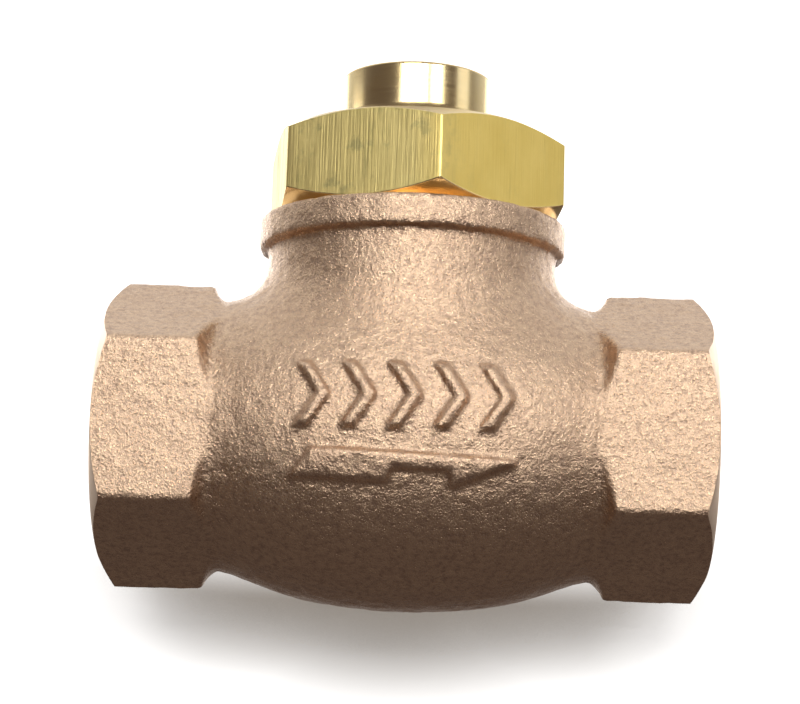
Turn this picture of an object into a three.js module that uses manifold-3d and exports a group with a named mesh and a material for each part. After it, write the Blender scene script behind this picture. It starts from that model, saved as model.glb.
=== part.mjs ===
// Horizontal lift check valve, nominal size 1/2, screwed ends.
// A cast bronze body carries a turned brass cap. A soft-faced disc rests on the seat inside the body
// and is guided by its stem in the cap: flow from the inlet lifts it, and its own weight closes it.
//
// Millimetres. +X is the direction of flow, +Z points up along the cap, and the origin is where the
// pipe's axis crosses the cap's axis.

import * as THREE from "three";
import { mergeVertices } from "three/addons/utils/BufferGeometryUtils.js";
import Module from "manifold-3d";

const wasm = await Module();
wasm.setup();

// ---- Driving dimensions ----

const FACE_TO_FACE = 64.3;
const HALF_LENGTH = FACE_TO_FACE / 2;
const END_FLATS = 29; // across the flats of each end hexagon
const END_LENGTH = 10.8;
const CHAMFER_ANGLE = THREE.MathUtils.degToRad(30);

const BELLY_RADIUS = 18.4; // about the pipe's axis, at the middle
const WAIST_RADIUS = 14.6; // where the belly meets the ends
const WAIST_X = 19.2;
const WALL = 3;

const NECK_RADIUS = 15.8;
const NECK_FILLET = 3.2;
const BEAD_RADIUS = 16.85;
const BEAD_BOTTOM = 20.3;
const BODY_TOP = 23.7;
const EDGE_ROUND = 0.5;

const PORT_RADIUS = 9.3; // drilled size of the pipe thread
const PORT_MOUTH_RADIUS = 10.6;
const PORT_DEPTH = 14.15;
const PASSAGE_RADIUS = 7.5;

const SEAT_RADIUS = 6.5;
const SEAT_LIP_RADIUS = 8.2;
const SEAT_TOP = 4;
const PLATE_TOP = 3; // top of the partition that holds the seat

const CAP_BORE = 12.75; // the body's bore for the cap's thread
const CAP_THREAD = 12.4; // the cap's threaded land
const CAP_BORE_BOTTOM = 14.8;
const CAP_FLATS = 30;
const CAP_TURN = THREE.MathUtils.degToRad(9.8); // how far one corner stands round from the front
const CAP_SEAT = BODY_TOP + 0.05;
const CAP_HEX_TOP = 33.4;
const CAP_TOP = 40.3;
const BOSS_RADIUS = 8.25;
const SKIRT_BOTTOM = 15.4;
const GUIDE_BORE = 3.7;
const GUIDE_TOP = 38.3;
const GUIDE_RADIUS = 5.6;

const GASKET_INNER = 13;
const GASKET_OUTER = 14;
const GASKET_THICKNESS = 0.85;
const GASKET_RECESS = 0.9;

const LIFT = 5; // the disc's travel off its seat
const FIT = 0.02; // gap between clamped faces
const DISC_RADIUS = 9.6;
const SEAL_RADIUS = 8.6;
const SEAL_THICKNESS = 2.4;
const STEM_RADIUS = 3.5;
const STUD_RADIUS = 2.4;
const WASHER_RADIUS = 5.6;
const NUT_FLATS = 8;
const NUT_HEIGHT = 3.2;

const MARK_HEIGHT = 0.7; // how far the cast marks stand out
const ROUND = 48; // sides of a large circle
const SMALL_ROUND = 24;

// ---- Solids: three.js geometry joined and cut with manifold-3d ----

function solidFrom(geometry) {
  const bare = geometry.clone();
  bare.deleteAttribute("normal");
  bare.deleteAttribute("uv");
  const merged = mergeVertices(bare, 1e-4);
  const mesh = new wasm.Mesh({
    numProp: 3,
    vertProperties: new Float32Array(merged.attributes.position.array),
    triVerts: new Uint32Array(merged.index.array),
  });
  return new wasm.Manifold(mesh);
}

function geometryFrom(solid) {
  const mesh = solid.getMesh();
  const geometry = new THREE.BufferGeometry();
  geometry.setAttribute("position", new THREE.BufferAttribute(mesh.vertProperties, 3));
  geometry.setIndex(new THREE.BufferAttribute(mesh.triVerts, 1));
  const flat = geometry.toNonIndexed();
  flat.computeVertexNormals();
  return flat;
}

const point = (x, y) => new THREE.Vector2(x, y);

// A solid turned about +Z from a profile of [radius, height] pairs that closes on the axis.
function turned(profile, sides = ROUND) {
  const points = profile.map(([r, z]) => point(r, z));
  const lathe = new THREE.LatheGeometry(points, sides);
  return solidFrom(lathe.rotateX(Math.PI / 2));
}

// The same, about +X: a profile of [radius, x] pairs.
function turnedAlongX(profile, sides = ROUND) {
  const points = profile.map(([r, x]) => point(r, x));
  const lathe = new THREE.LatheGeometry(points, sides);
  return solidFrom(lathe.rotateZ(-Math.PI / 2));
}

const disc = (radius, bottom, top, sides = ROUND) =>
  turned([[0, bottom], [radius, bottom], [radius, top], [0, top]], sides);

// A hexagonal prism along +Z with one corner standing `turn` round from the front.
function hexPrism(flats, bottom, top, turn = 0) {
  const corner = flats / Math.sqrt(3);
  const shape = new THREE.Shape();
  for (let i = 0; i < 6; i++) {
    const angle = turn - Math.PI / 2 + (i * Math.PI) / 3;
    const [x, y] = [corner * Math.cos(angle), corner * Math.sin(angle)];
    if (i === 0) shape.moveTo(x, y);
    else shape.lineTo(x, y);
  }
  const prism = new THREE.ExtrudeGeometry(shape, { depth: top - bottom, bevelEnabled: false });
  return solidFrom(prism.translate(0, 0, bottom));
}

// An outline in the XZ plane, given as [x, z] pairs, made solid from y = back to y = front.
function slab(outline, front, back) {
  const shape = new THREE.Shape(outline.map(([x, z]) => point(x, z)));
  const depth = back - front;
  const prism = new THREE.ExtrudeGeometry(shape, { depth, bevelEnabled: false });
  return solidFrom(prism.rotateX(Math.PI / 2).translate(0, back, 0));
}

const joined = (first, ...others) => others.reduce((all, one) => all.add(one), first);
const cut = (first, ...others) => others.reduce((all, one) => all.subtract(one), first);

// ---- Body ----

// The belly's radius at x: a shallow barrel that runs into the waist at each side.
function bellyRadius(x) {
  const t = Math.min(Math.abs(x) / WAIST_X, 1);
  const barrel = BELLY_RADIUS - (BELLY_RADIUS - WAIST_RADIUS) * t * t;
  const settle = 0.35 * Math.sin(Math.PI * t) ** 2;
  return barrel + settle * t;
}

function bellyProfile(shrink, halfLength, steps = 18) {
  const profile = [[0, -halfLength]];
  for (let i = 0; i <= steps; i++) {
    const x = halfLength * ((2 * i) / steps - 1);
    profile.push([bellyRadius(x) - shrink, x]);
  }
  profile.push([0, halfLength]);
  return profile;
}

// One hexagonal end, at +X: the turned outline rises from the waist, runs along the corners and is
// chamfered at the face.
function hexEnd() {
  const corner = END_FLATS / Math.sqrt(3);
  const chamfer = (corner - END_FLATS / 2) * Math.tan(CHAMFER_ANGLE);
  const back = HALF_LENGTH - END_LENGTH;
  const rise = corner - WAIST_RADIUS;
  const outline = [[0, WAIST_X - 3], [WAIST_RADIUS - 0.6, WAIST_X - 3], [WAIST_RADIUS, WAIST_X]];
  const steps = 5;
  for (let i = 1; i <= steps; i++) {
    const angle = (i / steps) * (Math.PI / 2);
    outline.push([
      WAIST_RADIUS + rise * (1 - Math.cos(angle)) + (i === steps ? 0.3 : 0),
      WAIST_X + (back - WAIST_X) * Math.sin(angle),
    ]);
  }
  outline.push([corner + 0.3, HALF_LENGTH - chamfer - 0.3 * Math.tan(CHAMFER_ANGLE)]);
  outline.push([END_FLATS / 2, HALF_LENGTH], [0, HALF_LENGTH]);
  const flatForward = Math.PI / 6;
  const prism = hexPrism(END_FLATS, WAIST_X - 3, HALF_LENGTH, flatForward).rotate([0, 90, 0]);
  return turnedAlongX(outline).intersect(prism);
}

// The fillet between the neck and the belly, as a ring of bent strips: in each upright plane through
// the cap's axis it runs from the neck's side to the belly's top.
function neckFillet() {
  const sides = ROUND;
  const steps = 4;
  const ring = [];
  const bellyTop = (radius, angle) => {
    const [x, y] = [radius * Math.cos(angle), radius * Math.sin(angle)];
    return Math.sqrt(Math.max(bellyRadius(x) ** 2 - y * y, 0));
  };
  for (let i = 0; i < sides; i++) {
    const angle = (i / sides) * 2 * Math.PI;
    const reach = NECK_FILLET * (0.35 + 0.65 * Math.cos(angle) ** 2);
    const foot = bellyTop(NECK_RADIUS, angle);
    const end = new THREE.Vector2(NECK_RADIUS + reach, bellyTop(NECK_RADIUS + reach, angle) - 0.05);
    const start = new THREE.Vector2(NECK_RADIUS - 0.05, foot + NECK_FILLET * 1.1);
    const curve = new THREE.QuadraticBezierCurve(start, new THREE.Vector2(NECK_RADIUS, foot), end);
    const section = [point(NECK_RADIUS - 2, end.y - 1.5), point(end.x, end.y - 1.5)];
    const bend = curve.getPoints(steps).reverse();
    const outline = [...section, ...bend, point(NECK_RADIUS - 2, start.y)];
    ring.push(outline.map((p) => [p.x * Math.cos(angle), p.x * Math.sin(angle), p.y]));
  }
  const count = ring[0].length;
  const index = [];
  for (let i = 0; i < sides; i++) {
    const next = (i + 1) % sides;
    for (let j = 0; j < count; j++) {
      const k = (j + 1) % count;
      const [a, b, c, d] = [i * count + j, i * count + k, next * count + j, next * count + k];
      index.push(a, c, b, b, c, d);
    }
  }
  const geometry = new THREE.BufferGeometry();
  geometry.setAttribute("position", new THREE.Float32BufferAttribute(ring.flat(2), 3));
  geometry.setIndex(index);
  return solidFrom(geometry);
}

function neck() {
  return turned([
    [0, 0],
    [NECK_RADIUS, 0],
    [NECK_RADIUS, BEAD_BOTTOM - EDGE_ROUND],
    [BEAD_RADIUS - EDGE_ROUND, BEAD_BOTTOM],
    [BEAD_RADIUS, BEAD_BOTTOM + EDGE_ROUND],
    [BEAD_RADIUS, BODY_TOP - EDGE_ROUND],
    [BEAD_RADIUS - EDGE_ROUND, BODY_TOP],
    [0, BODY_TOP],
  ]);
}

// The cast marks on the front: a row of chevrons over a long flow arrow, both pointing downstream.
const CHEVRON_COUNT = 5;
const CHEVRON_PITCH = 4.65;
const CHEVRON_STROKE = 1.6;
const CHEVRON_REACH = 2.2;
const CHEVRON_BOTTOM = -0.9;
const CHEVRON_TOP = 5.9;

function chevron(x) {
  const middle = (CHEVRON_BOTTOM + CHEVRON_TOP) / 2;
  return [
    [x, CHEVRON_BOTTOM],
    [x + CHEVRON_STROKE, CHEVRON_BOTTOM],
    [x + CHEVRON_STROKE + CHEVRON_REACH, middle],
    [x + CHEVRON_STROKE, CHEVRON_TOP],
    [x, CHEVRON_TOP],
    [x + CHEVRON_REACH, middle],
  ];
}

const FLOW_ARROW = [
  [-11.7, -6],
  [-1.7, -6.3],
  [-1, -5],
  [4.6, -5.1],
  [4.8, -6.7],
  [11.4, -4.2],
  [11.2, -3.6],
  [-9.3, -2.9],
];

function castMarks() {
  const skin = turnedAlongX(bellyProfile(-MARK_HEIGHT, WAIST_X));
  const front = -BELLY_RADIUS - MARK_HEIGHT - 1;
  const row = (CHEVRON_COUNT - 1) * CHEVRON_PITCH + CHEVRON_STROKE + CHEVRON_REACH;
  let marks = slab(FLOW_ARROW, front, -NECK_RADIUS);
  for (let i = 0; i < CHEVRON_COUNT; i++) {
    marks = marks.add(slab(chevron(i * CHEVRON_PITCH - row / 2), front, -NECK_RADIUS));
  }
  return marks.intersect(skin);
}

// The room inside: an inlet chamber under the partition and an outlet chamber over it, which run
// to the two ports. The partition steps down from the inlet's roof to the outlet's floor.
const UNDER_PARTITION = [[-16.8, 11.2], [-10.9, 0], [9.1, 0], [15.4, -12], [15.4, -20], [-18, -20], [-18, 11.2]];
const OVER_PARTITION = [[-14.6, 13.5], [-9.1, PLATE_TOP], [10.9, PLATE_TOP], [16.8, -8.2], [18, -8.2], [18, 20], [-14.6, 20]];
const CHAMBER_HALF = 16.2;

function chambers() {
  const inside = turnedAlongX(bellyProfile(WALL, CHAMBER_HALF, 12));
  const side = BELLY_RADIUS + 1;
  const lower = slab(UNDER_PARTITION, -side, side).intersect(inside);
  const upper = slab(OVER_PARTITION, -side, side).intersect(inside);
  return joined(lower, upper, disc(CAP_BORE - 0.8, 9.5, CAP_BORE_BOTTOM + 1));
}

function port(side) {
  const shoulder = HALF_LENGTH - PORT_DEPTH;
  const mouth = PORT_MOUTH_RADIUS - PORT_RADIUS;
  const outline = [
    [0, CHAMBER_HALF - 1.5],
    [PASSAGE_RADIUS, CHAMBER_HALF - 1.5],
    [PASSAGE_RADIUS, shoulder],
    [PORT_RADIUS, shoulder],
    [PORT_RADIUS, HALF_LENGTH - mouth],
    [PORT_MOUTH_RADIUS, HALF_LENGTH],
    [PORT_MOUTH_RADIUS, HALF_LENGTH + 1],
    [0, HALF_LENGTH + 1],
  ];
  const made = turnedAlongX(outline);
  return side > 0 ? made : made.rotate([0, 0, 180]);
}

function body() {
  const end = hexEnd();
  const belly = turnedAlongX(bellyProfile(0, WAIST_X));
  const outside = joined(belly, end, end.rotate([0, 0, 180]), neck(), neckFillet(), castMarks());
  const seatLip = disc(SEAT_LIP_RADIUS, PLATE_TOP - 1, SEAT_TOP);
  const hollow = cut(outside, chambers(), port(1), port(-1)).add(seatLip);
  return cut(
    hollow,
    disc(SEAT_RADIUS, -1, SEAT_TOP + 1),
    disc(CAP_BORE, CAP_BORE_BOTTOM, BODY_TOP + 1),
    disc(GASKET_OUTER + 0.2, BODY_TOP - GASKET_RECESS, BODY_TOP + 1),
  );
}

// ---- Cap ----

function cap() {
  const corner = CAP_FLATS / Math.sqrt(3);
  const chamfer = (corner - CAP_FLATS / 2) * Math.tan(CHAMFER_ANGLE);
  const nut = turned([
    [0, CAP_SEAT],
    [CAP_FLATS / 2, CAP_SEAT],
    [corner, CAP_SEAT + chamfer],
    [corner, CAP_HEX_TOP - chamfer],
    [CAP_FLATS / 2, CAP_HEX_TOP],
    [0, CAP_HEX_TOP],
  ]).intersect(hexPrism(CAP_FLATS, CAP_SEAT - 1, CAP_HEX_TOP + 1, CAP_TURN));
  const boss = turned([
    [0, CAP_HEX_TOP - 1],
    [BOSS_RADIUS + 0.4, CAP_HEX_TOP - 1],
    [BOSS_RADIUS + 0.4, CAP_HEX_TOP],
    [BOSS_RADIUS, CAP_HEX_TOP + 0.5],
    [BOSS_RADIUS, CAP_TOP - 0.3],
    [BOSS_RADIUS - 0.3, CAP_TOP],
    [0, CAP_TOP],
  ]);
  const skirt = disc(CAP_THREAD, SKIRT_BOTTOM, CAP_SEAT + 1);
  const guide = disc(GUIDE_RADIUS, guideBottom(), CAP_SEAT);
  const undercut = disc(CAP_THREAD - 2.6, SKIRT_BOTTOM - 1, SKIRT_BOTTOM + 5.5);
  const hole = disc(GUIDE_BORE, guideBottom() - 1, GUIDE_TOP, SMALL_ROUND);
  return cut(joined(cut(skirt, undercut), nut, boss, guide), hole);
}

function gasket() {
  const bottom = BODY_TOP - GASKET_RECESS + FIT;
  return cut(
    disc(GASKET_OUTER, bottom, bottom + GASKET_THICKNESS),
    disc(GASKET_INNER, bottom - 1, bottom + 2),
  );
}

// ---- Disc, with the soft seal clamped under it ----

const SEAL_BOTTOM = SEAT_TOP + FIT;
const SEAL_TOP = SEAL_BOTTOM + SEAL_THICKNESS;
const HUB_TOP = SEAL_TOP + 3.1;
const WASHER_THICKNESS = 0.9;
const LOCK_THICKNESS = 0.9;
const NUT_TOP = SEAL_BOTTOM - WASHER_THICKNESS - LOCK_THICKNESS - 3 * FIT;

function guideBottom() {
  return HUB_TOP + LIFT + 0.1;
}

function discHolder() {
  const studEnd = NUT_TOP - NUT_HEIGHT - 1;
  const rimBottom = SEAL_BOTTOM + 0.8;
  const plateTop = SEAL_TOP + 2;
  const stemTop = HUB_TOP + 21;
  return turned([
    [0, studEnd],
    [STUD_RADIUS - 0.4, studEnd],
    [STUD_RADIUS, studEnd + 0.4],
    [STUD_RADIUS, SEAL_TOP + FIT],
    [SEAL_RADIUS + 0.1, SEAL_TOP + FIT],
    [SEAL_RADIUS + 0.1, rimBottom],
    [DISC_RADIUS, rimBottom],
    [DISC_RADIUS, plateTop - 0.5],
    [DISC_RADIUS - 0.5, plateTop],
    [GUIDE_RADIUS + 0.8, plateTop],
    [GUIDE_RADIUS - 0.4, HUB_TOP],
    [STEM_RADIUS, HUB_TOP],
    [STEM_RADIUS, stemTop - 0.6],
    [STEM_RADIUS - 0.6, stemTop],
    [0, stemTop],
  ]);
}

const washer = (outer, inner, bottom, top, sides = SMALL_ROUND) =>
  cut(disc(outer, bottom, top, sides), disc(inner, bottom - 1, top + 1, sides));

const HOLE = STUD_RADIUS + 0.12;

const seatSeal = () => washer(SEAL_RADIUS, HOLE, SEAL_BOTTOM, SEAL_TOP, ROUND);

function discWasher() {
  const top = SEAL_BOTTOM - FIT;
  return washer(WASHER_RADIUS, HOLE, top - WASHER_THICKNESS, top);
}

// A spring washer: a ring with a slanted split.
function lockWasher() {
  const bottom = NUT_TOP + FIT;
  const ring = washer(4.2, HOLE, bottom, bottom + LOCK_THICKNESS);
  const split = [[-0.9, bottom - 1], [-0.2, bottom - 1], [0.9, bottom + 2], [0.2, bottom + 2]];
  return cut(ring, slab(split, -6, 0));
}

function discNut() {
  const corner = NUT_FLATS / Math.sqrt(3);
  const chamfer = (corner - NUT_FLATS / 2) * Math.tan(CHAMFER_ANGLE);
  const bottom = NUT_TOP - NUT_HEIGHT;
  const outline = turned([
    [0, bottom],
    [NUT_FLATS / 2, bottom],
    [corner, bottom + chamfer],
    [corner, NUT_TOP],
    [0, NUT_TOP],
  ]);
  const blank = hexPrism(NUT_FLATS, bottom - 1, NUT_TOP + 1).intersect(outline);
  return cut(blank, disc(HOLE, bottom - 2, NUT_TOP + 2, SMALL_ROUND));
}

// ---- Materials and assembly ----

const metal = (color, roughness) =>
  new THREE.MeshStandardMaterial({ color, roughness, metalness: 1 });
const plastic = (color, roughness) =>
  new THREE.MeshStandardMaterial({ color, roughness, metalness: 0 });

const castBronze = metal(0x9a7054, 0.55);
const turnedBrass = metal(0xc9ab55, 0.28);
const stainless = metal(0xb8b8b4, 0.35);
const softSeal = plastic(0xeeece4, 0.5);
const fibre = plastic(0x4a5a52, 0.8);

const PIECES = {
  body: [body, castBronze],
  cap: [cap, turnedBrass],
  cap_gasket: [gasket, fibre],
  disc_holder: [discHolder, turnedBrass],
  seat_disc: [seatSeal, softSeal],
  disc_washer: [discWasher, turnedBrass],
  lock_washer: [lockWasher, stainless],
  disc_nut: [discNut, turnedBrass],
};

const valve = new THREE.Group();
for (const [name, [make, material]] of Object.entries(PIECES)) {
  const mesh = new THREE.Mesh(geometryFrom(make()), material);
  mesh.name = name;
  valve.add(mesh);
}

export default valve;
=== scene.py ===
"""Looks of the horizontal lift check valve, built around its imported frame.

The cast body is sampled as a distance field, meshed, and then machined by cutters that carry the
threads. Every turned piece is a lofted surface with its edges broken. Lengths are in millimetres
until a mesh is made. +X is the flow, -Y the marked front and +Z the cap's axis.
"""

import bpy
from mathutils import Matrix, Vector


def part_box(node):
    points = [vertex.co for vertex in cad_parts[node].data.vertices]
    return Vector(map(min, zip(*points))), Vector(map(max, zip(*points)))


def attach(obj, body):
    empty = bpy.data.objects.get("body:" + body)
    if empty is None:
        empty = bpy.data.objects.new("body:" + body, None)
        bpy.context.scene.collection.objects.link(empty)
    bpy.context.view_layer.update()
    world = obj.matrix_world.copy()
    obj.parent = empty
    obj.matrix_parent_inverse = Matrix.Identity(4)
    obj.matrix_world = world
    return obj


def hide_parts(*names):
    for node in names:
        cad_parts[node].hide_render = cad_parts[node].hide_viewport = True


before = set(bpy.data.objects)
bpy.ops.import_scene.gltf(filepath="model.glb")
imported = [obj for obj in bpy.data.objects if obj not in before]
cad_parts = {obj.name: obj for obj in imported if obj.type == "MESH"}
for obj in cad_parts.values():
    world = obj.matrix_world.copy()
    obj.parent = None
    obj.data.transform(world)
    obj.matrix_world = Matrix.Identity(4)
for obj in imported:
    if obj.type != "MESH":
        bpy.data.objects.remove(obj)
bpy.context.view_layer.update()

import math

import bmesh
import bpy
import numpy as np
import openvdb
from mathutils import Matrix, Vector

MM = 0.001
TAU = 2 * math.pi


def corners(node):
    low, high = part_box(node)
    return [c / MM for c in low], [c / MM for c in high]


BODY_LOW, BODY_HIGH = corners("body")
CAP_LOW, CAP_HIGH = corners("cap")

HALF_LENGTH = BODY_HIGH[0]
BODY_TOP = BODY_HIGH[2]
CAP_TOP = CAP_HIGH[2]

# ---- The cast body's dimensions, as in the frame ----

END_APOTHEM = 14.5
END_CORNER = END_APOTHEM / math.cos(math.pi / 6)
END_START = 16  # nearer the middle than this, the hexagons' flats cut nothing
HEX_BACK = HALF_LENGTH - 10.8
BELLY_RADIUS = 18.4
BELLY_SWELL = 0.35  # how far the barrel's flanks stand out over a parabola
WAIST_RADIUS = 14.6
WAIST_X = 19.2
WALL = 3
NECK_RADIUS = 15.75
BEAD_RADIUS = 16.8
BEAD_BOTTOM = 20.3
BEAD_ROUND = 0.4
THROAT_RADIUS = 7.5
CROWN_RADIUS = 11.9  # the cored bore between the chambers and the cap's thread
END_BLEND = 1.0
NECK_BLEND = 3.2
MARK_HEIGHT = 0.68
MARK_SLOPE = 0.64  # width of the marks' rounded sides
MARK_SPREAD = 0.16  # how far the sides run out past the outline

VOXEL = 0.33
CAST_BLUR = 0.65  # voxels
SAND = [(11, 1.1, 0.025), (12, 3.5, 0.012), (13, 9, 0.012)]  # seed, lump size, height
SAND_TALLEST = 0.05
SHRINK = 0.06  # keeps the sand's lumps inside the frame's box


# ---- Fields on a grid ----


def axis(low, high):
    count = int(round((high - low) / VOXEL)) + 1
    return low + VOXEL * np.arange(count, dtype=np.float32)


GRID_X = axis(-HALF_LENGTH - 1.5, HALF_LENGTH + 1.5)
GRID_Y = axis(-20.5, 20.5)
GRID_Z = axis(-20, 26)
X, Y, Z = np.meshgrid(GRID_X, GRID_Y, GRID_Z, indexing="ij")


def blur(field, sigma):
    """The field smoothed by a Gaussian of sigma voxels along each axis."""
    reach = int(math.ceil(2.5 * sigma))
    taps = np.arange(-reach, reach + 1)
    weights = np.exp(-(taps**2) / (2 * sigma**2))
    weights /= weights.sum()
    for direction in range(field.ndim):
        pad = [(reach, reach) if i == direction else (0, 0) for i in range(field.ndim)]
        wide = np.pad(field, pad, mode="edge")
        size = field.shape[direction]
        total = np.zeros_like(field)
        for shift, weight in enumerate(weights):
            part = [slice(None)] * field.ndim
            part[direction] = slice(shift, shift + size)
            total += np.float32(weight) * wide[tuple(part)]
        field = total
    return field


def bumps(seed, size_mm):
    """Smooth seeded noise of unit spread whose lumps are about size_mm across."""
    random = np.random.default_rng(seed)
    step = max(1, int(round(size_mm / VOXEL / 2)))
    coarse = [n // step + 3 for n in X.shape]
    field = random.standard_normal(coarse).astype(np.float32)
    for direction, size in enumerate(X.shape):
        at = np.arange(size) / step
        low = at.astype(int)
        share = at - low
        share = (share * share * (3 - 2 * share)).astype(np.float32)
        shape = [1] * 3
        shape[direction] = size
        share = share.reshape(shape)
        a = np.take(field, low, axis=direction)
        b = np.take(field, low + 1, axis=direction)
        field = a * (1 - share) + b * share
    field = blur(field, 0.8)
    return field / field.std()


def smooth_union(a, b, width):
    blend = np.maximum(width - np.abs(a - b), 0) / width
    return np.minimum(a, b) - blend * blend * width / 4


def polygon_field(outline, u, v):
    """Signed distance to a polygon in a plane, negative inside."""
    points = np.array(outline, dtype=np.float32)
    nearest = np.full(u.shape, np.inf, dtype=np.float32)
    inside = np.zeros(u.shape, dtype=bool)
    for a, b in zip(points, np.roll(points, -1, axis=0)):
        edge = b - a
        along = ((u - a[0]) * edge[0] + (v - a[1]) * edge[1]) / (edge @ edge)
        along = np.clip(along, 0, 1)
        away = np.hypot(u - a[0] - along * edge[0], v - a[1] - along * edge[1])
        nearest = np.minimum(nearest, away)
        crosses = (a[1] > v) != (b[1] > v)
        slope = edge[0] / edge[1] if edge[1] else 0
        inside ^= crosses & (u < a[0] + (v - a[1]) * slope)
    return np.where(inside, -nearest, nearest)


def belly_radius(x):
    t = np.minimum(np.abs(x) / WAIST_X, 1)
    barrel = BELLY_RADIUS - (BELLY_RADIUS - WAIST_RADIUS) * t * t
    return barrel + BELLY_SWELL * np.sin(math.pi * t) ** 2 * t


def end_radius(x):
    """The turned outline of a hexagon end: it rises from the waist into the corners."""
    along = np.clip((np.abs(x) - WAIST_X) / (HEX_BACK - WAIST_X), 0, 1)
    rise = (END_CORNER - WAIST_RADIUS) * (1 - np.sqrt(1 - along * along))
    return WAIST_RADIUS - 0.1 + rise + np.where(along >= 1, 1.0, 0)


# ---- The cast body ----

CHEVRONS = 5
CHEVRON_PITCH = 4.65
CHEVRON_STROKE = 1.6
CHEVRON_REACH = 2.2
CHEVRON_BOTTOM = -0.9
CHEVRON_TOP = 5.9
FLOW_ARROW = [
    (-11.7, -6),
    (-1.7, -6.3),
    (-1, -5),
    (4.6, -5.1),
    (4.8, -6.7),
    (11.4, -4.2),
    (11.2, -3.6),
    (-9.3, -2.9),
]


def chevron(x):
    middle = (CHEVRON_BOTTOM + CHEVRON_TOP) / 2
    return [
        (x, CHEVRON_BOTTOM),
        (x + CHEVRON_STROKE, CHEVRON_BOTTOM),
        (x + CHEVRON_STROKE + CHEVRON_REACH, middle),
        (x + CHEVRON_STROKE, CHEVRON_TOP),
        (x, CHEVRON_TOP),
        (x + CHEVRON_REACH, middle),
    ]


def mark_height():
    """How far the cast marks stand out, over the XZ plane: rounded tops and drafted sides."""
    u, v = np.meshgrid(GRID_X, GRID_Z, indexing="ij")
    row = (CHEVRONS - 1) * CHEVRON_PITCH + CHEVRON_STROKE + CHEVRON_REACH
    field = polygon_field(FLOW_ARROW, u, v)
    for i in range(CHEVRONS):
        outline = chevron(i * CHEVRON_PITCH - row / 2)
        field = np.minimum(field, polygon_field(outline, u, v))
    depth = np.clip((MARK_SPREAD - field) / MARK_SLOPE, 0, 1)
    return MARK_HEIGHT * np.sin(depth * math.pi / 2) ** 1.2


UNDER_PARTITION = [
    (-16.8, 11.2),
    (-10.9, 0),
    (9.1, 0),
    (15.4, -12),
    (15.4, -20),
    (-18, -20),
    (-18, 11.2),
]
OVER_PARTITION = [
    (-14.6, 13.5),
    (-9.1, 3),
    (10.9, 3),
    (16.8, -8.2),
    (18, -8.2),
    (18, 20),
    (-14.6, 20),
]
CHAMBER_HALF = 16.2
SEAT_LIP_RADIUS = 8.2
SEAT_TOP = 4


def cast_outside():
    around_x = np.hypot(Y, Z)
    around_z = np.hypot(X, Y)
    belly = np.maximum(around_x - belly_radius(X), np.abs(X) - WAIST_X)
    flats = [
        np.abs(Y * math.cos(a) + Z * math.sin(a)) - END_APOTHEM
        for a in (0, math.pi / 3, 2 * math.pi / 3)
    ]
    end = np.maximum.reduce([around_x - end_radius(X), *flats, END_START - np.abs(X)])
    barrel = smooth_union(belly, end, END_BLEND)
    neck = np.maximum.reduce([around_z - NECK_RADIUS, Z - BEAD_BOTTOM - 1, -Z])
    bead_middle = (BEAD_BOTTOM + BODY_TOP + 0.2) / 2
    bead_half = (BODY_TOP + 0.2 - BEAD_BOTTOM) / 2
    past_side = np.maximum(around_z - BEAD_RADIUS + BEAD_ROUND, 0)
    past_end = np.maximum(np.abs(Z - bead_middle) - bead_half + BEAD_ROUND, 0)
    bead = np.hypot(past_side, past_end) - BEAD_ROUND
    bead = np.where(around_z < BEAD_RADIUS - 2, np.maximum(bead, -Z), bead)
    return np.minimum(smooth_union(barrel, neck, NECK_BLEND), bead)


def cast_inside():
    around_x = np.hypot(Y, Z)
    around_z = np.hypot(X, Y)
    u, v = np.meshgrid(GRID_X, GRID_Z, indexing="ij")
    below = polygon_field(UNDER_PARTITION, u, v)
    above = polygon_field(OVER_PARTITION, u, v)
    rooms = np.minimum(below, above)[:, None, :]
    shell = np.maximum(around_x - belly_radius(X) + WALL, np.abs(X) - CHAMBER_HALF)
    chambers = np.maximum(shell, rooms)
    throat = np.maximum.reduce([around_x - THROAT_RADIUS, 14.7 - np.abs(X), np.abs(X) - 19])
    crown = np.maximum.reduce([around_z - CROWN_RADIUS, 9.5 - Z, Z - 16])
    room = np.minimum.reduce([chambers, throat, crown])
    lip = np.maximum.reduce([around_z - SEAT_LIP_RADIUS, 1 - Z, Z - SEAT_TOP - 0.3])
    return np.maximum(room, -lip)


def cast_field():
    field = blur(np.maximum(cast_outside(), -cast_inside()), CAST_BLUR)
    front = (Y < 0).astype(np.float32)
    field = field - mark_height()[:, None, :] * front
    sand = sum(height * bumps(seed, size) for seed, size, height in SAND)
    return field + np.maximum(sand, -SAND_TALLEST) + SHRINK


def as_object(name, points, faces, smooth=True):
    mesh = bpy.data.meshes.new(name)
    mesh.from_pydata([tuple(p * MM for p in point) for point in points], [], faces)
    mesh.update()
    made = bpy.data.objects.new(name, mesh)
    bpy.context.scene.collection.objects.link(made)
    mesh.polygons.foreach_set("use_smooth", [smooth] * len(mesh.polygons))
    return made


def meshed(name, field):
    """The field's zero surface as a mesh. Its faces already agree with each other, and those of the
    closed chambers have to keep facing into the chambers."""
    grid = openvdb.FloatGrid(background=5.0)
    grid.copyFromArray(field.astype(np.float32))
    points, quads = grid.convertToQuads(isovalue=0.0)
    origin = np.array([GRID_X[0], GRID_Y[0], GRID_Z[0]])
    points = origin + points * VOXEL
    made = as_object(name, points.tolist(), quads.tolist())
    face_outwards(made, agree=True)
    return made


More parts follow.
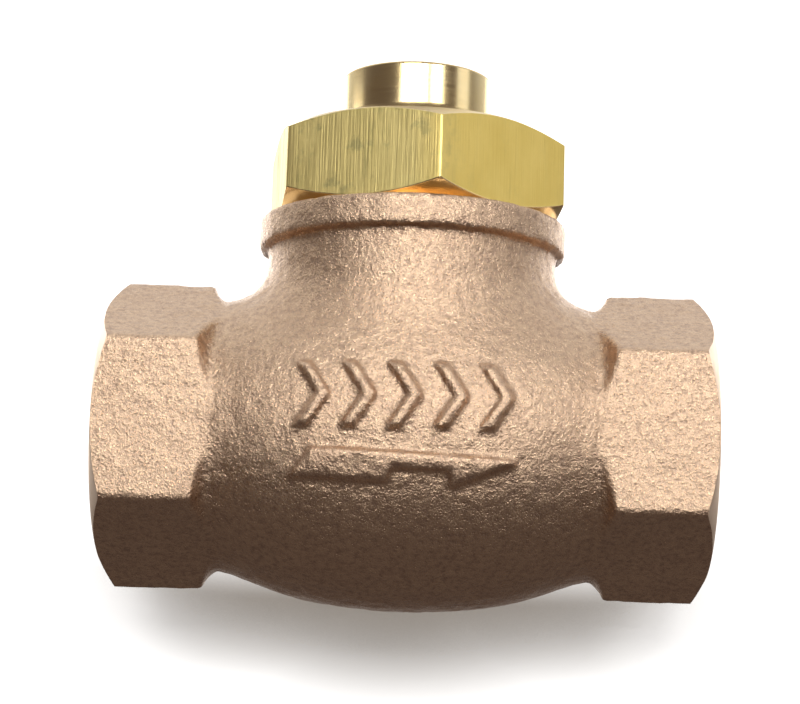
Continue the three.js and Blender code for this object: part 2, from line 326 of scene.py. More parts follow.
def face_outwards(made, agree=False):
    """Turns the faces to enclose a positive volume; agree says they face the same side already."""
    work = bmesh.new()
    work.from_mesh(made.data)
    bmesh.ops.remove_doubles(work, verts=work.verts, dist=1e-7)
    if not agree:
        bmesh.ops.recalc_face_normals(work, faces=work.faces)
    if work.calc_volume(signed=True) < 0:
        bmesh.ops.reverse_faces(work, faces=work.faces)
    work.to_mesh(made.data)
    work.free()
    made.data.update()


# ---- Lofted pieces: a profile at each angle about an axis ----


def angles(count):
    return np.arange(count) * TAU / count


def loft(name, columns, ring=False, slots=None):
    """A closed surface through columns (angle, profile point, xyz). The first and last profile
    points lie on the axis, or the profile closes on itself for a ring. slots names the material
    index of each stretch of the profile."""
    columns = np.asarray(columns, dtype=float)
    sides, rows = columns.shape[:2]
    faces = []
    index = []
    stretches = rows if ring else rows - 1
    for i in range(sides):
        j = (i + 1) % sides
        for k in range(stretches):
            m = (k + 1) % rows
            faces.append((i * rows + k, j * rows + k, j * rows + m, i * rows + m))
            index.append(slots[k] if slots is not None else 0)
    made = as_object(name, columns.reshape(-1, 3).tolist(), faces)
    made.data.polygons.foreach_set("material_index", index)
    face_outwards(made)
    return made


def broken(profile, steps=4, close=False):
    """A profile of (radius, height, edge radius) with each edge turned into an arc. A point close
    before and after each arc keeps the shading of the straight stretches flat. Returns the points,
    and for each point the number of the profile corner whose stretch it starts."""
    count = len(profile)
    points = []
    owners = []
    for i, (r, z, edge) in enumerate(profile):
        here = np.array([r, z], float)
        ends = not close and i in (0, count - 1)
        if ends or edge <= 0:
            points.append(here)
            owners.append(i)
            continue
        before = np.array(profile[i - 1][:2], float) - here
        after = np.array(profile[(i + 1) % count][:2], float) - here
        room = 0.42 * min(np.linalg.norm(before), np.linalg.norm(after))
        before /= np.linalg.norm(before)
        after /= np.linalg.norm(after)
        half = math.acos(np.clip(before @ after, -1, 1)) / 2
        reach = min(edge / math.tan(half), room)
        hold = min(0.1, 0.15 * reach / 0.42)
        start, end = here + before * reach, here + after * reach
        points.append(start + before * hold)
        owners.append((i - 1) % count)
        for s in range(steps + 1):
            t = s / steps
            points.append((1 - t) ** 2 * start + 2 * t * (1 - t) * here + t * t * end)
            owners.append(i)
        points.append(end + after * hold)
        owners.append(i)
    return np.array(points), owners


def turned(name, profile, sides=128, ring=False, slots=None, steps=4):
    """A lathe piece about Z. slots gives the material index after each profile corner."""
    points, owners = broken(profile, steps, close=ring)
    theta = angles(sides)[:, None]
    columns = np.stack(
        [
            points[:, 0] * np.cos(theta),
            points[:, 0] * np.sin(theta),
            np.broadcast_to(points[:, 1], (sides, len(points))),
        ],
        -1,
    )
    index = None
    if slots is not None:
        index = [slots[owner] for owner in owners]
    return loft(name, columns, ring, slots=index)


def thread(z, theta, pitch, depth, low, high, fade=0.6):
    """Height of a 60 degree right-hand thread's ridge over its root, fading at both ends."""
    phase = (z / pitch - theta / TAU) % 1
    ridge = np.clip((0.5 - np.abs(phase - 0.5)) * 2 * 1.25 - 0.12, 0, 1)
    ends = np.clip((z - low) / fade / pitch, 0, 1) * np.clip((high - z) / fade / pitch, 0, 1)
    return depth * ridge * ends


def hex_radius(theta, apothem, corner_round):
    """Radius of a hexagon with rounded corners, one flat's middle at theta = 0."""
    centre = (apothem - corner_round) / math.cos(math.pi / 6)
    off_flat = (theta + math.pi / 6) % (math.pi / 3) - math.pi / 6
    off_corner = math.pi / 6 - np.abs(off_flat)
    tangent = math.atan2(corner_round * 0.5, centre + corner_round * math.cos(math.pi / 6))
    flat = apothem / np.cos(off_flat)
    inside = np.maximum(corner_round**2 - (centre * np.sin(off_corner)) ** 2, 0)
    rounded = centre * np.cos(off_corner) + np.sqrt(inside)
    return np.where(off_corner < tangent, rounded, flat)


def hex_angles(apothem, corner_round, along_flat=26, along_corner=6):
    """Angles that fall on the corners' tangent points, measured from a flat's middle."""
    centre = (apothem - corner_round) / math.cos(math.pi / 6)
    tangent = math.atan2(corner_round * 0.5, centre + corner_round * math.cos(math.pi / 6))
    one = np.concatenate(
        [
            np.linspace(-math.pi / 6 + tangent, math.pi / 6 - tangent, along_flat, endpoint=False),
            math.pi / 6 + np.linspace(-tangent, tangent, along_corner, endpoint=False),
        ]
    )
    return np.concatenate([one + i * math.pi / 3 for i in range(6)])


# ---- Cutting ----


def apply_modifiers(made):
    graph = bpy.context.evaluated_depsgraph_get()
    mesh = bpy.data.meshes.new_from_object(made.evaluated_get(graph))
    old = made.data
    made.modifiers.clear()
    made.data = mesh
    bpy.data.meshes.remove(old)


def cut_with(made, cutters):
    for cutter in cutters:
        step = made.modifiers.new("cut", "BOOLEAN")
        step.operation = "DIFFERENCE"
        step.solver = "MANIFOLD"
        step.object = cutter
        apply_modifiers(made)
        bpy.data.objects.remove(cutter)


MACHINED = 1
CUTTER_SIDES = 120
PAST_RADIUS = 22  # outside everything a cutter has to clear
PAST_HEIGHT = 4
CHAMFER = math.tan(math.pi / 6)
PIPE_PITCH = 25.4 / 14
PIPE_MINOR = 9.3
PIPE_DEPTH = 1.0
PORT_BOTTOM = HALF_LENGTH - 14.15
PORT_MOUTH = 10.6


def end_cutter(side):
    """Everything turned at one end: the face, its chamfer, the mouth and the taper thread."""
    face = HALF_LENGTH - 0.02
    mouth = face - (PORT_MOUTH - PIPE_MINOR) * 0.62
    along = np.linspace(PORT_BOTTOM + 0.8, mouth, 84)
    columns = []
    for a in angles(CUTTER_SIDES):
        taper = (along - PORT_BOTTOM) / 32 - 0.2
        ridge = thread(along, a, PIPE_PITCH, PIPE_DEPTH, along[0], along[-1] + 3)
        wall = [(PIPE_MINOR + t + r, x) for t, r, x in zip(taper, ridge, along)]
        profile = [
            (0, PORT_BOTTOM),
            (PIPE_MINOR - 0.3, PORT_BOTTOM),
            (PIPE_MINOR + 0.1, PORT_BOTTOM + 0.4),
            *wall,
            (PORT_MOUTH, face),
            (END_APOTHEM - 0.25, face),
            (END_APOTHEM - 0.1, face - 0.05),
            (PAST_RADIUS, face - 0.05 - (PAST_RADIUS - END_APOTHEM + 0.1) * CHAMFER),
            (PAST_RADIUS, face + PAST_HEIGHT),
            (0, face + PAST_HEIGHT),
        ]
        columns.append([(x, -r * math.sin(a), r * math.cos(a)) for r, x in profile])
    made = loft("end_cut", columns)
    if side < 0:
        made.data.transform(Matrix.Rotation(math.pi, 4, "Z"))
    made.data.polygons.foreach_set("material_index", [MACHINED] * len(made.data.polygons))
    return made


CAP_PITCH = 1.5
BODY_BORE = 12.3
CAP_BORE_BOTTOM = 14.8
RECESS_BOTTOM = BODY_TOP - 0.9
RECESS_RADIUS = 14.2


def top_cutter():
    """The thread for the cap, the gasket's recess and the machined top."""
    along = np.linspace(CAP_BORE_BOTTOM + 0.5, RECESS_BOTTOM - 0.5, 56)
    columns = []
    for a in angles(CUTTER_SIDES):
        ridge = thread(along, a, CAP_PITCH, 0.75, along[0] - 1, along[-1] + 2)
        wall = [(BODY_BORE + r, z) for r, z in zip(ridge, along)]
        profile = [
            (0, CAP_BORE_BOTTOM),
            (BODY_BORE, CAP_BORE_BOTTOM),
            *wall,
            (BODY_BORE + 0.7, RECESS_BOTTOM),
            (RECESS_RADIUS, RECESS_BOTTOM),
            (RECESS_RADIUS, BODY_TOP - 0.15),
            (RECESS_RADIUS + 0.15, BODY_TOP),
            (PAST_RADIUS, BODY_TOP),
            (PAST_RADIUS, BODY_TOP + PAST_HEIGHT),
            (0, BODY_TOP + PAST_HEIGHT),
        ]
        columns.append([(r * math.cos(a), r * math.sin(a), z) for r, z in profile])
    made = loft("top_cut", columns)
    made.data.polygons.foreach_set("material_index", [MACHINED] * len(made.data.polygons))
    return made


SEAT_RADIUS = 6.5


def seat_cutter():
    profile = [
        (0, -1.5, 0),
        (SEAT_RADIUS, -1.5, 0),
        (SEAT_RADIUS, SEAT_TOP - 0.2, 0),
        (SEAT_RADIUS + 0.2, SEAT_TOP, 0),
        (SEAT_LIP_RADIUS + 0.5, SEAT_TOP, 0),
        (SEAT_LIP_RADIUS + 0.5, SEAT_TOP + 1, 0),
        (0, SEAT_TOP + 1, 0),
    ]
    made = turned("seat_cut", profile, 96)
    made.data.polygons.foreach_set("material_index", [MACHINED] * len(made.data.polygons))
    return made


def body():
    made = meshed("cast_body", cast_field())
    cut_with(made, [end_cutter(1), end_cutter(-1), top_cutter(), seat_cutter()])
    made.data.set_sharp_from_angle(angle=math.radians(42))
    return made


# ---- The cap ----

CAP_APOTHEM = 15.0
CAP_CORNER_ROUND = 0.35
CAP_FACE_RADIUS = CAP_APOTHEM - 0.35  # where the chamfers start
CAP_CORNER_AT = math.radians(-90 + 9.8)
HEX_TOP = 33.4
CAP_SEAT = BODY_TOP + 0.05
SKIRT_BOTTOM = 15.4
BOSS_RADIUS = 8.25
GUIDE_BORE = 3.7
GUIDE_TOP = 38.3
GUIDE_BOTTOM = CAP_LOW[2]
GUIDE_RADIUS = 5.6
CAP_ROOT = 12.1
DRAWN, TURNED, BORED = 0, 1, 2


def cap():
    theta = hex_angles(CAP_APOTHEM, CAP_CORNER_ROUND)
    radius = hex_radius(theta, CAP_APOTHEM, CAP_CORNER_ROUND)
    along = np.linspace(CAP_SEAT - 1.2, SKIRT_BOTTOM + 0.5, 78)
    columns = []
    for offset, r in zip(theta, radius):
        a = offset + CAP_CORNER_AT + math.pi / 6
        drop = (r - CAP_FACE_RADIUS) * CHAMFER
        outside = [
            (0, CAP_TOP, 0),
            (BOSS_RADIUS, CAP_TOP, 0.22),
            (BOSS_RADIUS, HEX_TOP, 2.3),
            (CAP_FACE_RADIUS, HEX_TOP, 0.25),
            (r, HEX_TOP - drop, 0.12),
            (r, CAP_SEAT + drop, 0.12),
            (CAP_FACE_RADIUS, CAP_SEAT, 0.1),
            (CAP_ROOT, CAP_SEAT, 0.15),
            (CAP_ROOT, CAP_SEAT - 0.8, 0),
        ]
        inside = [
            (CAP_ROOT + 0.1, SKIRT_BOTTOM + 0.3, 0),
            (CAP_ROOT - 0.3, SKIRT_BOTTOM, 0),
            (CAP_ROOT - 2.3, SKIRT_BOTTOM, 0.2),
            (CAP_ROOT - 2.3, SKIRT_BOTTOM + 5.5, 0.6),
            (GUIDE_RADIUS, SKIRT_BOTTOM + 5.5, 0.6),
            (GUIDE_RADIUS, GUIDE_BOTTOM, 0.3),
            (GUIDE_BORE, GUIDE_BOTTOM, 0.3),
            (GUIDE_BORE, GUIDE_TOP, 0),
            (0, GUIDE_TOP + 0.9, 0),
        ]
        ridge = thread(along, a, CAP_PITCH, 0.72, along[-1] - 0.6, along[0] + 0.6)
        threaded = np.stack([CAP_ROOT + ridge, along], -1)
        points, owners = broken(outside)
        lower, _ = broken(inside)
        profile = np.concatenate([points, threaded, lower])
        columns.append([(p * math.cos(a), p * math.sin(a), z) for p, z in profile])
    after_corner = [TURNED] * 4 + [DRAWN] + [TURNED] * 2 + [BORED] * 2
    slots = [after_corner[owner] for owner in owners]
    slots += [BORED] * (len(threaded) + len(lower))
    made = loft("threaded_cap", columns, slots=slots)
    made.data.set_sharp_from_angle(angle=math.radians(32))
    return made


def cap_gasket():
    low, high = corners("cap_gasket")
    profile = [
        (13, low[2], 0.12),
        (14, low[2], 0.12),
        (14, high[2], 0.12),
        (13, high[2], 0.12),
    ]
    return turned("ring_gasket", profile, 128, ring=True)


# ---- The disc and what is clamped under it ----

HOLDER_LOW, HOLDER_HIGH = corners("disc_holder")
SEAL_LOW, SEAL_HIGH = corners("seat_disc")
WASHER_LOW, WASHER_HIGH = corners("disc_washer")
LOCK_LOW, LOCK_HIGH = corners("lock_washer")
NUT_LOW, NUT_HIGH = corners("disc_nut")
STUD_ROOT = 2.05
STUD_PITCH = 0.8
STUD_DEPTH = 0.33
STUD_HOLE = 2.52
STUD_NECK = 2.4
STEM_RADIUS = 3.5
NUT_MOUTH = 2.75


def disc_holder():
    rim = HOLDER_HIGH[0]
    seal = SEAL_HIGH[0]
    plate_top = SEAL_HIGH[2] + 2
    hub_top = GUIDE_BOTTOM - 5.1
    along = np.linspace(HOLDER_LOW[2] + 0.4, SEAL_LOW[2] + 0.4, 56)
    columns = []
    for a in angles(96):
        outside = [
            (seal + 0.1, SEAL_HIGH[2] + 0.02, 0.1),
            (seal + 0.1, SEAL_LOW[2] + 0.8, 0.1),
            (rim, SEAL_LOW[2] + 0.8, 0.15),
            (rim, plate_top, 0.45),
            (GUIDE_RADIUS + 0.8, plate_top, 0.5),
            (GUIDE_RADIUS - 0.4, hub_top, 0.25),
            (STEM_RADIUS, hub_top, 0.2),
            (STEM_RADIUS, HOLDER_HIGH[2], 0.6),
            (0, HOLDER_HIGH[2], 0),
        ]
        ridge = thread(along, a, STUD_PITCH, STUD_DEPTH, along[0], along[-1] + 0.5)
        start = [(0, HOLDER_LOW[2]), (STUD_ROOT - 0.25, HOLDER_LOW[2])]
        threaded = np.stack([STUD_ROOT + ridge, along], -1)
        neck = [(STUD_NECK, SEAL_LOW[2] + 0.7), (STUD_NECK, SEAL_HIGH[2] + 0.02)]
        top, _ = broken(outside, 3)
        profile = np.concatenate([start, threaded, neck, top])
        columns.append([(p * math.cos(a), p * math.sin(a), z) for p, z in profile])
    made = loft("guided_disc", columns)
    made.data.set_sharp_from_angle(angle=math.radians(35))
    return made


def seat_disc():
    profile = [
        (STUD_HOLE, SEAL_LOW[2], 0.1),
        (SEAL_HIGH[0], SEAL_LOW[2], 0.25),
        (SEAL_HIGH[0], SEAL_HIGH[2], 0.25),
        (STUD_HOLE, SEAL_HIGH[2], 0.1),
    ]
    return turned("soft_seat_disc", profile, 128, ring=True)


def disc_washer():
    profile = [
        (STUD_HOLE, WASHER_LOW[2], 0.08),
        (WASHER_HIGH[0], WASHER_LOW[2], 0.22),
        (WASHER_HIGH[0], WASHER_HIGH[2], 0.08),
        (STUD_HOLE, WASHER_HIGH[2], 0.08),
    ]
    return turned("plain_washer", profile, 96, ring=True)


def lock_washer():
    """A spring washer: one turn of a rectangular section that climbs a little to its split."""
    inner, outer = 2.55, LOCK_HIGH[0] - 0.02
    bottom, top = LOCK_LOW[2] + 0.03, LOCK_HIGH[2] - 0.03
    climb = 0.06
    section, _ = broken(
        [
            (inner, bottom, 0.08),
            (outer, bottom, 0.08),
            (outer, top - climb, 0.08),
            (inner, top - climb, 0.08),
        ],
        3,
        close=True,
    )
    steps = 90
    gap = math.radians(12)
    rows = len(section)
    points = []
    for i in range(steps + 1):
        t = i / steps
        a = -math.pi / 2 + gap / 2 + t * (TAU - gap)
        for r, z in section:
            lean = 0.09 * (z - bottom) / r
            points.append((r * math.cos(a + lean), r * math.sin(a + lean), z + climb * t))
    faces = []
    for start in range(0, steps * rows, rows):
        for k in range(rows):
            m = (k + 1) % rows
            faces.append((start + k, start + m, start + rows + m, start + rows + k))
    faces += [tuple(range(rows)), tuple(steps * rows + k for k in range(rows))]
    made = as_object("spring_washer", points, faces)
    face_outwards(made)
    made.data.set_sharp_from_angle(angle=math.radians(50))
    return made


def disc_nut():
    apothem = NUT_HIGH[0]
    corner_round = 0.15
    theta = hex_angles(apothem, corner_round, 14, 4)
    radius = hex_radius(theta, apothem, corner_round)
    bottom, top = NUT_LOW[2], NUT_HIGH[2]
    along = np.linspace(top - 0.35, bottom + 0.35, 32)
    columns = []
    for a, r in zip(theta, radius):
        drop = (r - apothem + 0.2) * CHAMFER
        ridge = thread(along, a, STUD_PITCH, STUD_DEPTH, along[-1] - 1, along[0] + 1)
        bore = np.stack([STUD_ROOT + 0.14 + ridge, along], -1)
        mouth_low = [(NUT_MOUTH, bottom), (apothem - 0.2, bottom)]
        side = [(r, bottom + drop), (r, top - 0.05), (r - 0.05, top), (NUT_MOUTH, top)]
        profile = np.concatenate([mouth_low, side, bore])
        columns.append([(p * math.cos(a), p * math.sin(a), z) for p, z in profile])
    made = loft("stud_nut", columns, ring=True)
    made.data.set_sharp_from_angle(angle=math.radians(35))
    return made


# ---- Materials ----


class Recipe:
    """A node material under construction: a Principled shader and helpers that feed it."""

    def __init__(self, name):
        self.material = bpy.data.materials.new(name)
        self.material.use_nodes = True
        self.tree = self.material.node_tree
        self.shader = self.tree.nodes["Principled BSDF"]
        self.place = self.node("ShaderNodeTexCoord").outputs["Object"]

    def node(self, kind, **settings):
        made = self.tree.nodes.new(kind)
        for key, value in settings.items():
            setattr(made, key, value)
        return made

    def link(self, source, target):
        self.tree.links.new(source, target)

    def coordinates(self):
        split = self.node("ShaderNodeSeparateXYZ")
        self.link(self.place, split.inputs[0])
        return split.outputs

    def stretched(self, scale):
        mapping = self.node("ShaderNodeMapping")
        self.link(self.place, mapping.inputs["Vector"])
        mapping.inputs["Scale"].default_value = scale
        return mapping.outputs["Vector"]

    def noise(self, size_mm, detail=3.0, roughness=0.55, scale=(1, 1, 1)):
        made = self.node("ShaderNodeTexNoise")
        self.link(self.stretched(scale), made.inputs["Vector"])
        made.inputs["Scale"].default_value = 1 / (size_mm * MM)
        made.inputs["Detail"].default_value = detail
        made.inputs["Roughness"].default_value = roughness
        return made.outputs["Fac"]

    def rings(self, size_mm, detail=2.0):
        """Noise that changes only along X and away from X, as turning about X leaves it."""
        x, y, z = self.coordinates()
        squares = self.math("MULTIPLY", y, y), self.math("MULTIPLY", z, z)
        away = self.math("SQRT", self.math("ADD", *squares))
        join = self.node("ShaderNodeCombineXYZ")
        self.link(x, join.inputs[0])
        self.link(away, join.inputs[1])
        made = self.node("ShaderNodeTexNoise")
        self.link(join.outputs[0], made.inputs["Vector"])
        made.inputs["Scale"].default_value = 1 / (size_mm * MM)
        made.inputs["Detail"].default_value = detail
        return made.outputs["Fac"]

    def math(self, operation, *values):
        made = self.node("ShaderNodeMath", operation=operation)
        for socket, value in zip(made.inputs, values):
            if isinstance(value, (int, float)):
                socket.default_value = value
            else:
                self.link(value, socket)
        return made.outputs[0]

    def spread(self, value, low, high, to_low=0.0, to_high=1.0):
        made = self.node("ShaderNodeMapRange")
        self.link(value, made.inputs["Value"])
        for key, number in (
            ("From Min", low),
            ("From Max", high),
            ("To Min", to_low),
            ("To Max", to_high),
        ):
            made.inputs[key].default_value = number
        return made.outputs["Result"]

    def ramp(self, value, stops):
        made = self.node("ShaderNodeValToRGB")
        points = made.color_ramp.elements
        while len(points) < len(stops):
            points.new(0.5)
        for point, (at, color) in zip(points, stops):
            point.position = at
            point.color = (*color, 1)
        self.link(value, made.inputs["Fac"])
        return made.outputs["Color"]

    def mix(self, share, a, b):
        made = self.node("ShaderNodeMix", data_type="RGBA")
        for socket, value in zip((made.inputs[0], made.inputs[6], made.inputs[7]), (share, a, b)):
            if isinstance(value, tuple):
                socket.default_value = (*value, 1)
            elif isinstance(value, (int, float)):
                socket.default_value = value
            else:
                self.link(value, socket)
        return made.outputs[2]

    def bump(self, height, depth_mm, strength=1.0):
        made = self.node("ShaderNodeBump")
        made.inputs["Strength"].default_value = strength
        made.inputs["Distance"].default_value = depth_mm * MM
        self.link(height, made.inputs["Height"])
        return made.outputs["Normal"]

    def finish(self, color=None, roughness=None, normal=None, metallic=1.0, **fixed):
        sockets = self.shader.inputs
        if color is not None:
            self.link(color, sockets["Base Color"])
        if roughness is not None:
            self.link(roughness, sockets["Roughness"])
        if normal is not None:
            self.link(normal, sockets["Normal"])
        sockets["Metallic"].default_value = metallic
        for key, value in fixed.items():
            sockets[key.replace("_", " ").title()].default_value = value
        return self.material


def cast_bronze():
    """Shot-blasted sand casting: coarse glinting grain, darker in the pits, with painted shade in
    the corners.
    """
    m = Recipe("cast_bronze")
    grain = m.noise(0.24, 3.0, 0.68)
    pits = m.noise(0.6, 2.5, 0.6)
    patches = m.noise(8, 2, 0.5)
    height = m.math("ADD", m.math("MULTIPLY", grain, 0.45), m.math("MULTIPLY", pits, 0.55))
    color = m.ramp(
        m.spread(height, 0.38, 0.62),
        [(0.0, (0.56, 0.39, 0.285)), (0.5, (0.77, 0.555, 0.39)), (1.0, (0.88, 0.65, 0.45))],
    )
    color = m.mix(m.spread(patches, 0.35, 0.7, 0, 0.2), color, (0.63, 0.43, 0.3))
    # Painted shade: ambient occlusion darkens corners and creases to a dark brown, where shade
    # falls.
    corner = m.node("ShaderNodeAmbientOcclusion", samples=6, only_local=True)
    corner.inputs["Distance"].default_value = 3.2 * MM
    painted_corner_shade = m.spread(corner.outputs["AO"], 0.5, 0.86, 0.85, 0.0)
    color = m.mix(painted_corner_shade, color, (0.2, 0.125, 0.085))
    rough = m.spread(grain, 0.35, 0.65, 0.4, 0.24)
    return m.finish(color, rough, m.bump(height, 0.25))


def machined_bronze():
    m = Recipe("machined_bronze")
    lines = m.rings(0.22)
    color = m.ramp(m.noise(2.5), [(0.3, (0.76, 0.55, 0.38)), (0.7, (0.86, 0.66, 0.48))])
    rough = m.spread(lines, 0.3, 0.7, 0.28, 0.38)
    return m.finish(color, rough, m.bump(lines, 0.012, 0.6))


def drawn_brass():
    """The hexagon's flats: die lines along the bar, and a tarnish that is stronger on one side."""
    m = Recipe("drawn_brass")
    lines = m.noise(0.2, 3, 0.6, (1, 1, 0.02))
    streaks = m.noise(1.2, 4, 0.7, (1, 1, 0.15))
    tarnish = m.noise(3.2, 4, 0.6, (1, 1, 0.6))
    older = m.spread(m.coordinates()["X"], 0, 5 * MM, 1.0, 0.1)
    clean = m.ramp(tarnish, [(0.3, (0.92, 0.7, 0.19)), (0.7, (0.98, 0.76, 0.23))])
    dull = m.ramp(tarnish, [(0.3, (0.8, 0.67, 0.27)), (0.7, (0.95, 0.8, 0.34))])
    color = m.mix(older, clean, dull)
    dirt = m.math("MULTIPLY", m.spread(streaks, 0.55, 0.72), older)
    color = m.mix(m.math("MULTIPLY", dirt, 0.6), color, (0.36, 0.33, 0.14))
    smudge = m.math("MULTIPLY", m.spread(m.noise(2.1, 5, 0.65, (1, 1, 0.7)), 0.56, 0.66), older)
    color = m.mix(m.math("MULTIPLY", smudge, 0.55), color, (0.4, 0.37, 0.17))
    rough = m.math("ADD", m.spread(lines, 0.3, 0.7, 0.38, 0.48), m.math("MULTIPLY", dirt, 0.1))
    return m.finish(color, rough, m.bump(lines, 0.035))


def turned_brass():
    m = Recipe("turned_brass")
    lines = m.noise(0.14, 2, 0.5, (0.05, 0.05, 1))
    color = m.ramp(m.noise(4), [(0.3, (0.99, 0.77, 0.38)), (0.7, (1.0, 0.82, 0.47))])
    rough = m.spread(lines, 0.3, 0.7, 0.16, 0.24)
    return m.finish(color, rough, m.bump(lines, 0.003, 0.4))


def bored_brass():
    m = Recipe("bored_brass")
    lines = m.noise(0.2, 2, 0.5, (0.1, 0.1, 1))
    color = m.ramp(m.noise(3), [(0.3, (0.74, 0.56, 0.27)), (0.7, (0.83, 0.66, 0.35))])
    return m.finish(color, m.spread(lines, 0.3, 0.7, 0.2, 0.34), m.bump(lines, 0.01, 0.4))


def stainless():
    m = Recipe("spring_stainless")
    lines = m.noise(0.15, 2, 0.5)
    color = m.ramp(m.noise(1.5), [(0.3, (0.5, 0.5, 0.49)), (0.7, (0.66, 0.66, 0.64))])
    return m.finish(color, m.spread(lines, 0.3, 0.7, 0.22, 0.36), m.bump(lines, 0.008, 0.4))


def soft_white():
    m = Recipe("moulded_white")
    cloud = m.noise(2, 3)
    color = m.ramp(cloud, [(0.3, (0.76, 0.75, 0.7)), (0.7, (0.86, 0.85, 0.81))])
    grain = m.noise(0.25, 2)
    return m.finish(color, m.spread(grain, 0.3, 0.7, 0.42, 0.55), m.bump(grain, 0.01, 0.4), 0.0)


def gasket_sheet():
    m = Recipe("fibre_sheet")
    fibre = m.noise(0.4, 4, 0.7, (1, 0.3, 1))
    color = m.ramp(fibre, [(0.3, (0.06, 0.11, 0.09)), (0.7, (0.14, 0.22, 0.19))])
    return m.finish(color, m.spread(fibre, 0.3, 0.7, 0.7, 0.9), m.bump(fibre, 0.03, 0.6), 0.0)


def dress(piece, *materials):
    """Gives a piece its materials; its faces keep their material indices."""
    faces = piece.data.polygons
    index = np.empty(len(faces), dtype=np.int32)
    faces.foreach_get("material_index", index)
    piece.data.materials.clear()
    for material in materials:
        piece.data.materials.append(material)
    faces.foreach_set("material_index", np.minimum(index, len(materials) - 1))


# ---- Assembly ----

BRONZE, MACHINED_BRONZE = cast_bronze(), machined_bronze()
DRAWN_BRASS, TURNED_BRASS, BORED_BRASS = drawn_brass(), turned_brass(), bored_brass()

PIECES = [
    (body, "body", "valve_body", "cast_bronze", (BRONZE, MACHINED_BRONZE)),
    (cap, "cap", "cap", "turned_brass", (DRAWN_BRASS, TURNED_BRASS, BORED_BRASS)),
    (cap_gasket, "cap_gasket", "cap_gasket", "gasket_sheet", (gasket_sheet(),)),
    (disc_holder, "disc_holder", "disc", "trim_brass", (BORED_BRASS,)),
    (seat_disc, "seat_disc", "disc", "seal_white", (soft_white(),)),
    (disc_washer, "disc_washer", "disc", "trim_brass", (BORED_BRASS,)),
    (lock_washer, "lock_washer", "disc", "stainless", (stainless(),)),
    (disc_nut, "disc_nut", "disc", "trim_brass", (BORED_BRASS,)),
]

for make, node, group, slot, materials in PIECES:
    piece = make()
    dress(piece, *materials)
    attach(piece, group)
    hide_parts(node)

# ---- Stage, light and camera ----

STAGE_REACH = 900
FLOOR_GAP = 0.1
PAPER_GAP = 1
SHADE_DISTANCE = 18
SHADE_POWER = 2.8
SHADE_FULL = -17  # the shade is whole below this height and gone above SHADE_NONE
SHADE_NONE = -9


def stage_material(name, toward):
    """Pale matt paper, seen from its front only. It glows evenly, but for a painted soft shadow
    near the ground, where ambient occlusion finds the valve in the way of the direction toward."""
    m = Recipe(name)
    mottle = m.ramp(m.noise(40), [(0.3, (0.6, 0.6, 0.6)), (0.7, (0.64, 0.64, 0.64))])
    shade = m.node("ShaderNodeAmbientOcclusion", samples=8)
    shade.inputs["Distance"].default_value = SHADE_DISTANCE * MM
    aim = m.node("ShaderNodeCombineXYZ")
    for socket, value in zip(aim.inputs, Vector(toward).normalized()):
        socket.default_value = value
    m.link(aim.outputs[0], shade.inputs["Normal"])
    clear = m.spread(m.coordinates()["Z"], SHADE_FULL * MM, SHADE_NONE * MM)
    # Painted shadow: the glow is darkened where the valve occludes the direction toward.
    glow = m.ramp(
        m.math("MAXIMUM", m.math("POWER", shade.outputs["AO"], SHADE_POWER), clear),
        [(0.0, (0.08, 0.068, 0.045)), (0.75, (0.95, 0.95, 0.95))],
    )
    m.link(mottle, m.shader.inputs["Base Color"])
    m.link(glow, m.shader.inputs["Emission Color"])
    m.shader.inputs["Emission Strength"].default_value = 1
    m.shader.inputs["Roughness"].default_value = 0.9
    m.shader.inputs["Specular IOR Level"].default_value = 0
    side = m.node("ShaderNodeNewGeometry")
    see_through = m.node("ShaderNodeBsdfTransparent")
    choose = m.node("ShaderNodeMixShader")
    m.link(side.outputs["Backfacing"], choose.inputs[0])
    m.link(m.shader.outputs[0], choose.inputs[1])
    m.link(see_through.outputs[0], choose.inputs[2])
    m.link(choose.outputs[0], m.tree.nodes["Material Output"].inputs["Surface"])
    return m.material


def sheet(name, centre, across, along, toward):
    """A flat stage panel whose front faces across x along. It lights and shades nothing."""
    c, a, b = Vector(centre), Vector(across), Vector(along)
    points = [c - a - b, c + a - b, c + a + b, c - a + b]
    made = as_object(name, [tuple(p) for p in points], [(0, 1, 2, 3)], smooth=False)
    dress(made, stage_material(name, toward))
    made.visible_diffuse = made.visible_glossy = made.visible_shadow = False


WIDE, DEEP, TALL = (STAGE_REACH, 0, 0), (0, STAGE_REACH, 0), (0, 0, STAGE_REACH)
sheet("stage_floor", (0, 0, BODY_LOW[2] - FLOOR_GAP), WIDE, DEEP, (0, 0, 1))
sheet("stage_paper", (0, BODY_HIGH[1] + PAPER_GAP, 0), WIDE, TALL, (0.1, -0.55, 0.8))


LIGHT_CENTRE = Vector((0, 0, 8))
DAYLIGHT = (1, 1, 1)
WARM = (1, 0.98, 0.95)
CREAM = (1, 0.95, 0.85)


def area_light(name, azimuth, elevation, away, size, radiance, color):
    """A rectangular softbox that faces the valve. The azimuth is from the front towards +X, and
    the camera doesn't see the light itself."""
    data = bpy.data.lights.new(name, "AREA")
    data.shape = "RECTANGLE"
    data.size, data.size_y = (s * MM for s in size)
    data.energy = radiance * math.pi * size[0] * size[1] * MM * MM
    data.color = color
    made = bpy.data.objects.new(name, data)
    a, e = math.radians(azimuth), math.radians(elevation)
    aim = Vector((math.sin(a) * math.cos(e), -math.cos(a) * math.cos(e), math.sin(e)))
    made.location = (aim * away + LIGHT_CENTRE) * MM
    made.rotation_euler = (-aim).to_track_quat("-Z", "Y").to_euler()
    made.visible_camera = False
    bpy.context.scene.collection.objects.link(made)


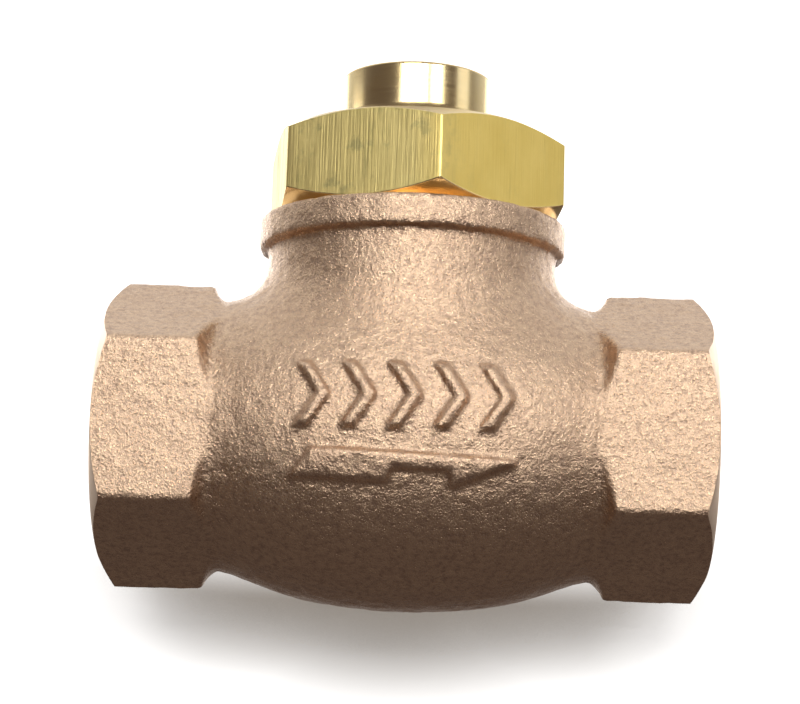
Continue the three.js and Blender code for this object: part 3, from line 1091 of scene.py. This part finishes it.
LIGHTS = [
    # name, azimuth, elevation, distance, size, radiance, colour
    ("key_softbox", -4, 15.3, 420, (270, 138), 7.3, WARM),
    ("key_strip", 31, 14.6, 420, (110, 138), 6.4, WARM),
    ("rear_window", 180, 14, 500, (1000, 240), 1.35, DAYLIGHT),
    ("rear_card", -160, 11, 480, (190, 200), 0.8, DAYLIGHT),
    ("left_card", -97, 29, 88, (30, 15), 1.15, CREAM),
    ("side_window", 76, 10, 420, (160, 300), 0.92, DAYLIGHT),
]
for settings in LIGHTS:
    area_light(*settings)

WORLD_DARK = (0.105, 0.083, 0.075)
WORLD_BRIGHT = (0.86, 0.85, 0.84)
WORLD_TOWARD = (0, 0.5, 0.86)
WORLD_FROM, WORLD_TO = 0.11, 0.75


def studio():
    """Soft light all round, brightest from behind and above; the camera sees white."""
    world = bpy.data.worlds.new("studio")
    bpy.context.scene.world = world
    world.use_nodes = True
    tree = world.node_tree
    place = tree.nodes.new("ShaderNodeTexCoord")
    facing = tree.nodes.new("ShaderNodeVectorMath")
    facing.operation = "DOT_PRODUCT"
    facing.inputs[1].default_value = Vector(WORLD_TOWARD).normalized()
    tree.links.new(place.outputs["Generated"], facing.inputs[0])
    ramp = tree.nodes.new("ShaderNodeMapRange")
    ramp.data_type = "FLOAT_VECTOR"
    ramp.interpolation_type = "SMOOTHSTEP"
    ends = (WORLD_FROM,) * 3, (WORLD_TO,) * 3, WORLD_DARK, WORLD_BRIGHT
    for socket, value in zip(list(ramp.inputs)[7:11], ends):
        socket.default_value = value
    tree.links.new(facing.outputs["Value"], ramp.inputs[6])
    ray = tree.nodes.new("ShaderNodeLightPath")
    choose = tree.nodes.new("ShaderNodeMix")
    choose.data_type = "RGBA"
    tree.links.new(ray.outputs["Is Camera Ray"], choose.inputs[0])
    tree.links.new(ramp.outputs[1], choose.inputs[6])
    choose.inputs[7].default_value = (1, 1, 1, 1)
    tree.links.new(choose.outputs[2], tree.nodes["Background"].inputs["Color"])


studio()

VIEW_AZIMUTH = math.radians(1.24)
VIEW_ELEVATION = math.radians(-9.55)
VIEW_ROLL = math.radians(1.81)
VIEW_PLACE = (3.844, -223.536, -27.789)
VIEW_LENS = 93.43
VIEW_SENSOR = 36


def camera():
    """The photograph's camera: a little under the pipe's axis, looking up, and rolled."""
    data = bpy.data.cameras.new("view")
    data.sensor_fit = "HORIZONTAL"
    data.sensor_width = VIEW_SENSOR
    data.lens = VIEW_LENS
    data.clip_start, data.clip_end = 0.01, 10
    made = bpy.data.objects.new("view", data)
    a, e = VIEW_AZIMUTH, VIEW_ELEVATION
    ahead = Vector((-math.sin(a) * math.cos(e), math.cos(a) * math.cos(e), -math.sin(e)))
    level = Vector((math.cos(a), math.sin(a), 0))
    upright = level.cross(ahead)
    right = math.cos(VIEW_ROLL) * level + math.sin(VIEW_ROLL) * upright
    up = right.cross(ahead)
    made.matrix_world = Matrix.Translation(Vector(VIEW_PLACE) * MM) @ Matrix(
        (right, up, -ahead)
    ).transposed().to_4x4()
    bpy.context.scene.collection.objects.link(made)
    bpy.context.scene.camera = made


camera()
bpy.context.scene.view_settings.view_transform = "Standard"
